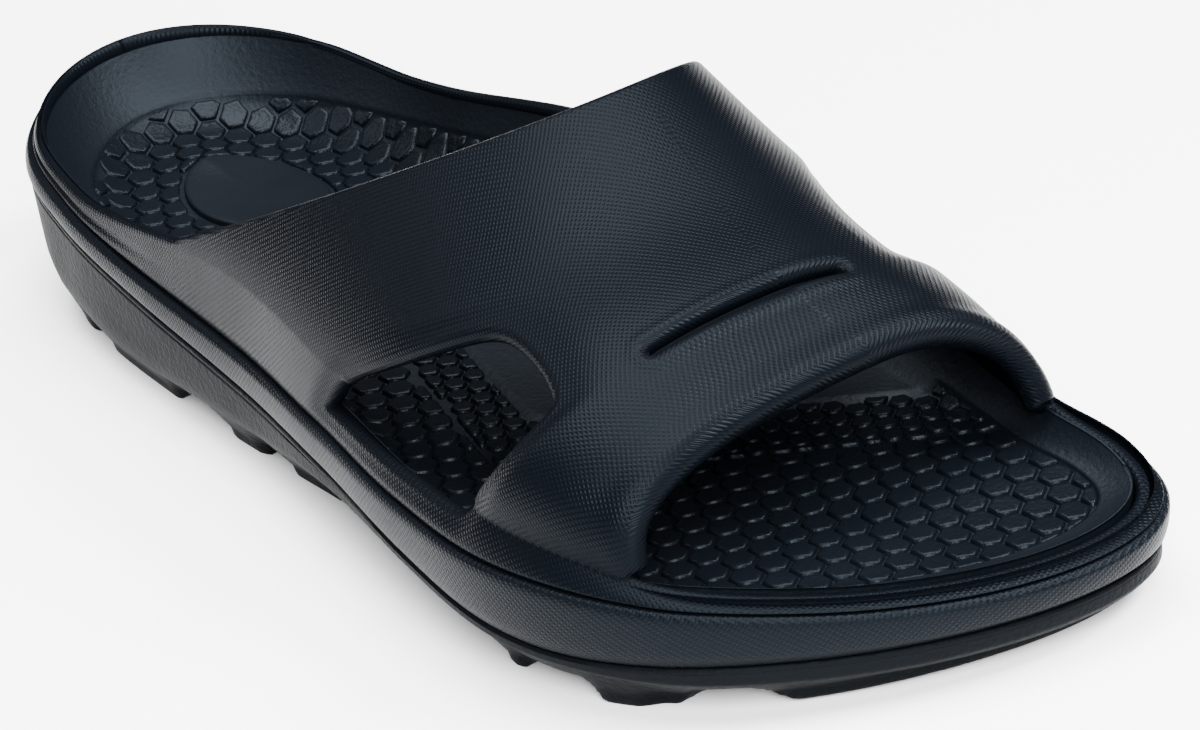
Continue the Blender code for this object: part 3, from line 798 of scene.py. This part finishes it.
class SLIDE_OT_footbed(bpy.types.Operator):
    """Build the footbed: a cupped, finely grained top with a sunk panel for the pads"""
    bl_idname = "slide.footbed"
    bl_label = "Footbed"

    def execute(self, context):
        s = sizes()
        angle = stations()
        share = share_at(angle)
        inset = bed_inset()
        start = panel_part(angle)
        first = bed_surface(angle, 0.0)
        under = np.array([0, 0, BED_THICKNESS])
        rings = [bed_surface(angle, part) - under for part in (1.9, 1.5, 1.0, 0.7, 0.4, 0.15)]
        rings += [ring(angle, inset, first[:, 2] - BED_THICKNESS), ring(angle, inset, first[:, 2] - 0.0008)]
        rings += [ring(angle, inset + 0.00015, first[:, 2] - 0.0003)]
        for part in np.linspace(0, 1, 13):
            rings.append(bed_surface(angle, part * start))
        step = 0.0004 / bowl_width(share)
        sunk = [(start + 0.25 * step, 0.2), (start + step, 1.0)]
        sunk += [(start + step + part * (1 - start - step), 1.0) for part in np.linspace(0, 1, 17)[1:]]
        sunk += [(1 + part, 1.0) for part in np.linspace(0, 1, 33)[1:]]
        for part, depth in sunk:
            points = bed_surface(angle, part)
            smooth = smooth_step(arch_depth(points[:, 0], points[:, 1], 0.0), -0.0012, 0.0006)
            points[:, 2] -= s.pad_height * depth * (1 - smooth)
            rings.append(points)
        bed = foam("footbed_foam", colours().footbed, 0.50, 0.10, 900.0, 0.00014)
        lofted("footbed_top", rings, bed, "footbed")
        return {"FINISHED"}


class SLIDE_OT_pads(bpy.types.Operator):
    """Build the footbed's raised pads and the plain oval at the heel"""
    bl_idname = "slide.pads"
    bl_label = "Pads"

    def execute(self, context):
        s = sizes()
        pad = foam("pad_foam", colours().pads, 0.34, 0.06, 1000.0, 0.00014)
        large = pad_mesh(s.pad_pitch, math.radians(3), lambda x, y: np.minimum(
            oval_depth(x, y, 0.0007), -arch_depth(x, y, 1.0)), s.pad_height)
        small = pad_mesh(0.76 * s.pad_pitch, math.radians(3), small_zone, s.pad_height)
        for name, (verts, faces) in (("pads_large", large), ("pads_small", small)):
            object_from(name, verts + box_shift(), faces, pad, "footbed")
        turn = np.linspace(0, 2 * np.pi, 97)[:-1]
        rows = []
        rise = s.pad_height
        middle = s.length * (OVAL_SHARE - 0.5)
        rim = bed_place(middle + OVAL_LENGTH * np.cos(turn), OVAL_WIDTH * np.sin(turn))[0][:, 2]
        for reach, lift in ((1.0, -1.6 * rise), (1.0, 0.0), (0.99, 0.35 * rise), (0.965, 0.62 * rise),
                            (0.93, 0.72 * rise), (0.8, 0.74 * rise), (0.6, 0.74 * rise), (0.4, 0.74 * rise),
                            (0.2, 0.74 * rise), (0.02, 0.74 * rise)):
            x = middle + OVAL_LENGTH * reach * np.cos(turn)
            y = OVAL_WIDTH * reach * np.sin(turn)
            height = rim.mean() - 0.0004 + (rim - rim.mean() + 0.0004) * reach ** 2 + lift
            rows.append(np.column_stack([x, y, height]))
        button = foam("oval_foam", colours().oval, 0.42, 0.09, 1500.0, 0.00008)
        verts = np.concatenate(rows) + box_shift()
        faces = wrapped_grid(len(rows), len(turn)).tolist()
        faces.append(list(range((len(rows) - 1) * len(turn), len(rows) * len(turn))))
        object_from("heel_oval", verts, faces, button, "footbed")
        return {"FINISHED"}


def strap_rows(steps, count):
    """Grid of the strap's outer skin: a row per hoop, evenly spaced from the lateral to the medial base.

    A half hoop is a quarter of a rounded box from its base to the ridge; both halves together are
    spaced out evenly by length, then relaxed so that the ridge is no crease.
    """
    s = sizes()
    lateral = angle_at(along(HOOPS, 1, steps), False)
    medial = angle_at(along(HOOPS, 2, steps), True)
    base = [ring(a, s.rim_inset, rim_top(share_at(a)) - rim_lip(share_at(a))) for a in (lateral, medial)]
    ridge = np.stack([s.length * (along(HOOPS, 3, steps) - 0.5), along(HOOPS, 5, steps) * s.ball_width / 2,
                      along(HOOPS, 4, steps) * s.strap_height - 0.0002], -1)
    turn = np.linspace(0, np.pi / 2, 240)
    halves = []
    for side, column in ((0, 6), (1, 7)):
        power = 2 / along(HOOPS, column, steps)[:, None]
        out, up = np.cos(turn) ** power, np.sin(turn) ** power
        x = base[side][:, :1] + (ridge[:, :1] - base[side][:, :1]) * up
        y = ridge[:, 1:2] + (base[side][:, 1:2] - ridge[:, 1:2]) * out
        z = base[side][:, 2:] + (ridge[:, 2:] - base[side][:, 2:]) * up
        halves.append(np.stack([x, y, z], -1))
    whole = np.concatenate([halves[0], halves[1][:, ::-1][:, 1:]], axis=1)
    dist = np.cumsum(np.linalg.norm(np.diff(whole, axis=1, prepend=whole[:, :1]), axis=2), axis=1)
    grid = np.empty((len(steps), count, 3))
    for k in range(len(steps)):
        even = np.linspace(0, dist[k, -1], count)
        for axis in range(3):
            grid[k, :, axis] = np.interp(even, dist[k], whole[k, :, axis])
    relax(grid.swapaxes(0, 1), 25)
    relax(grid, 4)
    return grid


def rim_lip(share):
    """Height of the rounded crest of the rim."""
    return np.minimum(0.5 * sizes().rim_wall, 0.4 * (rim_top(share) - band_top(share)))


def point_normals(verts, quads):
    """Normals at the points of a quad mesh, as the sum of the crossed diagonals of its faces."""
    cross = np.cross(verts[quads[:, 2]] - verts[quads[:, 0]], verts[quads[:, 3]] - verts[quads[:, 1]])
    total = np.zeros_like(verts)
    for corner in range(4):
        np.add.at(total, quads[:, corner], cross)
    return total / (np.linalg.norm(total, axis=1, keepdims=True) + 1e-12)


def window_distance(points, side):
    """Distance outside a side window, seen from the side: a rounded least distance to its edges."""
    s = sizes()
    corner = np.array([(s.length * (share - 0.5), s.strap_height * height) for share, height in WINDOW])
    following = np.roll(corner, -1, axis=0)
    way = following - corner
    way /= np.linalg.norm(way, axis=1, keepdims=True)
    inward = np.stack([-way[:, 1], way[:, 0]], -1)
    place = points[:, [0, 2]]
    depth = ((place[:, None] - corner[None]) * inward[None]).sum(-1)
    soft, lateral_reach, medial_reach = 0.0011, 0.033, 0.020
    least = depth.min(axis=1, keepdims=True)
    depth = least[:, 0] - soft * np.log(np.exp(-(depth - least) / soft).sum(axis=1))
    beyond = side * points[:, 1] - (medial_reach if side > 0 else lateral_reach)
    return np.where(beyond > 0, -depth, 0.05)


def slot_distance(points):
    """Distance outside the vent slot, seen from above: a capsule between its two ends."""
    s = sizes()
    a, b = [np.array([s.length * (share - 0.5), y]) for share, y in SLOT_ENDS]
    way = b - a
    place = points[:, :2]
    t = np.clip(((place - a) @ way) / (way @ way), 0.05, 0.95)
    away = np.linalg.norm(place - a - t[:, None] * way, axis=1)
    return np.where(points[:, 2] > 0.5 * s.strap_height, away - 0.5 * s.slot_width, 0.05)


def opened(verts, normal, skin, quads, distance):
    """Cuts openings into a sheet: points next to a contour move onto it, faces inside it go.

    Every edge that crosses the contour moves its nearer end to the crossing. A face keeps the corners
    that are on or outside the contour.
    """
    edges = np.concatenate([quads[:, [i, (i + 1) % 4]] for i in range(4)])
    edges = np.unique(np.sort(edges, axis=1), axis=0)
    ga, gb = distance[edges[:, 0]], distance[edges[:, 1]]
    cross = ga * gb < 0
    edges, ga, gb = edges[cross], ga[cross], gb[cross]
    t = ga / (ga - gb)
    near = np.where(t < 0.5, edges[:, 0], edges[:, 1])
    far = np.where(t < 0.5, edges[:, 1], edges[:, 0])
    t = np.where(t < 0.5, t, 1 - t)
    order = np.argsort(-t)
    near, far, t = near[order], far[order], t[order][:, None]
    new = [data.copy() for data in (verts, normal, skin)]
    for fresh, data in zip(new, (verts, normal, skin)):
        fresh[near] = data[near] * (1 - t) + data[far] * t
    state = np.sign(distance).astype(int)
    state[near] = 0
    corner = state[quads]
    inside = (corner < 0).sum(axis=1)
    flat = (corner == 0).all(axis=1) & (distance[quads].mean(axis=1) < 0)
    keep = (inside == 0) & ~flat
    faces = quads[keep].tolist()
    part = quads[(inside == 1) & ((corner > 0).any(axis=1))]
    part_state = state[part]
    for face, flags in zip(part, part_state):
        faces.append([v for v, flag in zip(face.tolist(), flags) if flag >= 0])
    return new[0], new[1], new[2], faces


def boundary_loops(faces):
    """Loops of points along the open edges of a sheet, each followed with the sheet on its left."""
    seen = {}
    for face in faces:
        for a, b in zip(face, face[1:] + face[:1]):
            seen[(a, b)] = True
    after = {a: b for a, b in seen if (b, a) not in seen}
    loops = []
    while after:
        start = next(iter(after))
        loop = [start]
        here = after.pop(start)
        while here != start and here in after:
            loop.append(here)
            here = after.pop(here)
        loops.append(loop)
    return loops


class SLIDE_OT_upper(bpy.types.Operator):
    """Build the upper: the rim and the strap as one walled shell with rolled lips at its openings"""
    bl_idname = "slide.upper"
    bl_label = "Upper"

    def execute(self, context):
        s = sizes()
        hoops, count, heel, toe, levels = HOOP_COUNT, HOOP_POINTS, HEEL_POINTS, TOE_POINTS, RIM_LEVELS
        steps = np.linspace(0.012, 0.972, hoops)
        lateral = angle_at(along(HOOPS, 1, steps), False)
        medial = angle_at(along(HOOPS, 2, steps), True)
        angle = np.concatenate([
            np.linspace(0, lateral[0], heel + 1)[:-1], lateral,
            np.linspace(lateral[-1], np.pi, toe + 1)[1:], np.linspace(np.pi, medial[-1], toe + 1)[1:-1],
            medial[::-1], np.linspace(medial[0], 2 * np.pi, heel + 1)[1:-1]])
        share = share_at(angle)
        low = band_top(share) + s.gap / 2
        rise = rim_top(share) - rim_lip(share) - low
        foot = 0.25 * s.rim_inset - band_flare(share)
        part = np.linspace(0, 1, levels)
        rings = []
        for p in part:
            groove = 0.0005 * np.exp(-((p - 0.52) / 0.13) ** 2) * (1 - smooth_step(share, 0.22, 0.34))
            roll = 0.0007 * np.exp(-(p / 0.10) ** 2)
            inset = foot + (s.rim_inset - foot) * p ** 1.5 + groove + roll
            rings.append(ring(angle, inset, low + p * rise))
        cols = len(angle)
        grid = strap_rows(steps, count)
        verts = np.concatenate([np.concatenate(rings), grid[:, 1:-1].reshape(-1, 3)])
        ids = np.zeros((hoops, count), int)
        rim_row = (levels - 1) * cols
        ids[:, 0] = rim_row + heel + np.arange(hoops)
        ids[:, -1] = rim_row + (cols - heel - np.arange(hoops)) % cols
        ids[:, 1:-1] = levels * cols + np.arange(hoops * (count - 2)).reshape(hoops, -1)
        quads = wrapped_grid(levels, cols)
        strap = np.stack([ids[:-1, :-1], ids[1:, :-1], ids[1:, 1:], ids[:-1, 1:]], -1).reshape(-1, 4)
        quads = np.concatenate([quads, strap])
        normal = point_normals(verts, quads)
        skin = self.skin(angle, rings, grid, heel, hoops, levels)
        to_toe, to_collar = self.edge_distances(verts, ids, grid)
        windows = np.minimum(window_distance(verts, -1), window_distance(verts, 1))
        slot = slot_distance(verts)
        bead = 0.0005 * np.exp(-((to_toe - 0.002) / 0.0026) ** 2)
        bead += 0.00022 * np.exp(-((slot - 0.0012) / 0.0010) ** 2)
        dip = 0.0011 * np.exp(-(np.maximum(windows - 0.0008, 0) / 0.0022) ** 2)
        wall = np.full(len(verts), s.rim_wall)
        strap_wall = s.wall + 0.0020 * np.exp(-(to_toe / 0.005) ** 2)
        strap_wall -= 0.0009 * np.exp(-(to_collar / 0.004) ** 2)
        wall[levels * cols:] = strap_wall[levels * cols:]
        under_strap = np.zeros(cols)
        under_strap[heel:heel + hoops] = 1
        under_strap[(cols - heel - np.arange(hoops)) % cols] = 1
        for _ in range(120):
            under_strap += 0.25 * (np.roll(under_strap, 1) - 2 * under_strap + np.roll(under_strap, -1))
        ring_wall = s.rim_wall + (s.wall - s.rim_wall) * under_strap
        wall[:levels * cols] = np.tile(ring_wall, levels)
        wall[ids[:, [0, -1]]] = np.maximum(wall[ids[:, [0, -1]]], s.rim_wall)
        verts = verts + normal * (bead - dip)[:, None]
        distance = np.minimum(windows - 0.0012, slot - 0.0006)
        carry = np.column_stack([skin, wall])
        verts, normal, carry, faces = opened(verts, normal, carry, quads, distance)
        normal /= np.linalg.norm(normal, axis=1, keepdims=True)
        skin, wall = carry[:, :3], carry[:, 3]
        self.shell(verts, normal, skin, wall, faces, cols)
        return {"FINISHED"}

    def skin(self, angle, rings, grid, heel, hoops, levels):
        """Surface coordinates: along from the heel by the sloping length, and down from the ridge."""
        base = rings[-1]
        side = np.linalg.norm(np.diff(base, axis=0, append=base[:1]), axis=1)
        way = np.concatenate([[0], np.cumsum(side)[:-1]])
        way = np.minimum(way, side.sum() - way)
        slope = grid[..., 2] + 0.45 * grid[..., 0]
        step = np.hypot(np.diff(grid[..., 1], axis=1), np.diff(slope, axis=1))
        across = np.concatenate([np.zeros((hoops, 1)), np.cumsum(step, axis=1)], axis=1)
        middle = np.take_along_axis(across, grid[..., 2].argmax(axis=1)[:, None], axis=1)
        relax(middle, 120)
        down = np.abs(across - middle)
        lateral = way[heel:heel + hoops]
        medial = way[(len(angle) - heel - np.arange(hoops)) % len(angle)]
        t = np.linspace(0, 1, grid.shape[1])[None]
        stretch = 1.08
        start = (lateral - stretch * grid[:, 0, 0])[:, None] * (1 - t)
        start = start + (medial - stretch * grid[:, -1, 0])[:, None] * t
        strap = np.stack([start + stretch * grid[..., 0], down, 0 * down], -1)
        edge = np.interp(angle, [angle[heel], angle[heel + hoops - 1], angle[len(angle) - heel - hoops + 1],
                                 angle[len(angle) - heel]],
                         [down[0, 0], down[-1, 0], down[-1, -1], down[0, -1]])
        edge[heel:heel + hoops] = down[:, 0]
        edge[(len(angle) - heel - np.arange(hoops)) % len(angle)] = down[:, -1]
        rows = []
        for level in range(levels):
            drop = np.linalg.norm(rings[-1] - rings[level], axis=1)
            rows.append(np.stack([way, edge + drop, 0 * way], -1))
        return np.concatenate([np.concatenate(rows), strap[:, 1:-1].reshape(-1, 3)])

    def edge_distances(self, verts, ids, grid):
        """Distance of each point from the toe opening and from the collar, along the strap."""
        step = np.linalg.norm(np.diff(grid, axis=0), axis=2)
        from_collar = np.concatenate([np.zeros((1, grid.shape[1])), np.cumsum(step, axis=0)])
        to_toe = np.full(len(verts), 1.0)
        to_collar = np.full(len(verts), 1.0)
        to_collar[ids] = from_collar
        to_toe[ids] = from_collar[-1][None] - from_collar
        return to_toe, to_collar

    def shell(self, verts, normal, skin, wall, faces, cols):
        """Doubles the sheet inwards by its wall and closes every open edge with a rolled lip.

        A lip is half an ellipse from the outer to the inner edge: half the wall wide and as high as
        the lip, pointing away from the sheet.
        """
        inner = verts - normal * wall[:, None]
        floor = verts[:cols, 2]
        bottom = np.arange(cols)
        inner[bottom, 2] = floor
        used = np.unique(np.concatenate([np.asarray(face) for face in faces]))
        place = np.full(len(verts), -1)
        place[used] = np.arange(len(used))
        loops = boundary_loops(faces)
        total = len(used)
        points = [verts[used], inner[used]]
        skins = [skin[used], skin[used]]
        shape = [[place[v] for v in face] for face in faces]
        shape += [[place[v] + total for v in face[::-1]] for face in faces]
        next_id = 2 * total
        for loop in loops:
            loop = np.array(loop)
            outer, inside = verts[loop], inner[loop]
            flat = (loop < cols).all()
            before, after = np.roll(outer, 1, axis=0), np.roll(outer, -1, axis=0)
            way = after - before
            out = np.cross(way, normal[loop])
            out /= np.linalg.norm(out, axis=1, keepdims=True) + 1e-12
            for _ in range(3):
                out = out + 0.5 * (np.roll(out, 1, axis=0) + np.roll(out, -1, axis=0))
                out /= np.linalg.norm(out, axis=1, keepdims=True) + 1e-12
            half = 0.5 * (outer - inside)
            centre = 0.5 * (outer + inside)
            width = np.linalg.norm(half, axis=1)
            height = 0.0 if flat else 1.0
            on_rim = loop < cols * RIM_LEVELS
            lip = height * np.where(on_rim, np.minimum(width, rim_lip_at(outer)), width)
            previous = place[loop]
            for row in range(1, LIP_ROWS):
                turn = np.pi * row / LIP_ROWS
                fresh = centre + half * math.cos(turn) + out * (lip * math.sin(turn))[:, None]
                points.append(fresh)
                skins.append(skin[loop] + np.array([0, 1, 0]) * (lip * turn)[:, None])
                here = next_id + np.arange(len(loop))
                next_id += len(loop)
                shape += np.stack([np.roll(previous, -1), previous, here, np.roll(here, -1)], -1).tolist()
                previous = here
            last = place[loop] + total
            shape += np.stack([np.roll(previous, -1), previous, last, np.roll(last, -1)], -1).tolist()
        strap = foam("strap_foam", colours().upper, 0.36, 0.035, 1500.0, 0.00002, 0.000034, 0.00115)
        verts = np.concatenate(points) + box_shift()
        upper = object_from("upper_shell", verts, shape, strap, "upper")
        store_skin(upper, np.concatenate(skins))


def rim_lip_at(points):
    """Height of the rim's crest at points near it."""
    share = np.clip(points[:, 0] / sizes().length + 0.5, 0, 1)
    return rim_lip(share)


class SLIDE_OT_stage(bpy.types.Operator):
    """Set the pale floor, the soft studio lights and the camera"""
    bl_idname = "slide.stage"
    bl_label = "Stage"

    def execute(self, context):
        shift = Vector(box_shift())
        mesh = bpy.data.meshes.new("floor")
        mesh.from_pydata([(-3, -3, 0), (3, -3, 0), (3, 3, 0), (-3, 3, 0)], [], [(0, 1, 2, 3)])
        mat, _, shader = nodes_of("floor_paint")
        shader.inputs["Base Color"].default_value = (0.96, 0.96, 0.96, 1)
        shader.inputs["Roughness"].default_value = 0.8
        shader.inputs["Emission Color"].default_value = (1, 1, 1, 1)
        shader.inputs["Emission Strength"].default_value = 0.05
        mesh.materials.append(mat)
        floor = bpy.data.objects.new("floor", mesh)
        bpy.context.scene.collection.objects.link(floor)
        world = bpy.data.worlds.new("studio")
        world.use_nodes = True
        sky = world.node_tree.nodes["Background"]
        sky.inputs["Color"].default_value = (1, 1, 1, 1)
        sky.inputs["Strength"].default_value = 0.10
        bpy.context.scene.world = world
        for name, (place, size, power) in LIGHTS.items():
            self.light(name, place, size, power)
        self.camera(Vector(TARGET) + shift, *map(math.radians, (AZIMUTH, ELEVATION, ROLL)), DISTANCE)
        return {"FINISHED"}

    def light(self, name, place, size, power):
        """Square area light that looks at the shoe."""
        data = bpy.data.lights.new(name, "AREA")
        data.size = size
        data.energy = power
        obj = bpy.data.objects.new(name, data)
        obj.location = place
        obj.rotation_euler = (-Vector(place)).to_track_quat("-Z", "Y").to_euler()
        bpy.context.scene.collection.objects.link(obj)

    def camera(self, target, azimuth, elevation, roll, distance):
        """Camera at a compass angle and height round the target, turned about its own axis by the roll."""
        back = Vector((math.sin(azimuth) * math.cos(elevation), -math.cos(azimuth) * math.cos(elevation),
                       math.sin(elevation)))
        right = Vector((math.cos(azimuth), math.sin(azimuth), 0))
        up = back.cross(right)
        x = right * math.cos(roll) + up * math.sin(roll)
        y = up * math.cos(roll) - right * math.sin(roll)
        data = bpy.data.cameras.new("camera")
        data.sensor_width = 36
        data.lens = LENS
        data.clip_start = 0.01
        obj = bpy.data.objects.new("camera", data)
        turn = Matrix((x, y, back)).transposed().to_4x4()
        obj.matrix_world = Matrix.Translation(target + back * distance) @ turn
        bpy.context.scene.collection.objects.link(obj)
        bpy.context.scene.camera = obj


class SLIDE_PT_panel(bpy.types.Panel):
    """Sizes and steps of the slide sandal"""
    bl_idname = "SLIDE_PT_panel"
    bl_label = "Slide sandal"
    bl_space_type = "VIEW_3D"
    bl_region_type = "UI"
    bl_category = "Slide"

    def draw(self, context):
        for group, kind in ((sizes(), SlideSizes), (colours(), SlideColours)):
            for prop in kind.__annotations__:
                self.layout.prop(group, prop)
        for step in STEPS:
            self.layout.operator(step)


STEPS = ("slide.stage", "slide.outsole", "slide.midsole", "slide.footbed", "slide.pads", "slide.upper")
CLASSES = (SlideSizes, SlideColours, SLIDE_OT_stage, SLIDE_OT_outsole, SLIDE_OT_midsole, SLIDE_OT_footbed,
           SLIDE_OT_pads, SLIDE_OT_upper, SLIDE_PT_panel)


def register():
    for cls in CLASSES:
        bpy.utils.register_class(cls)
    bpy.types.Scene.slide_sizes = bpy.props.PointerProperty(type=SlideSizes)
    bpy.types.Scene.slide_colours = bpy.props.PointerProperty(type=SlideColours)


def unregister():
    del bpy.types.Scene.slide_sizes
    del bpy.types.Scene.slide_colours
    for cls in reversed(CLASSES):
        bpy.utils.unregister_class(cls)


def main():
    """Registers the add-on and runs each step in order."""
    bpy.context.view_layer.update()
    register()
    for step in STEPS:
        group, name = step.split(".")
        getattr(getattr(bpy.ops, group), name)()


if __name__ == "__main__":
    main()
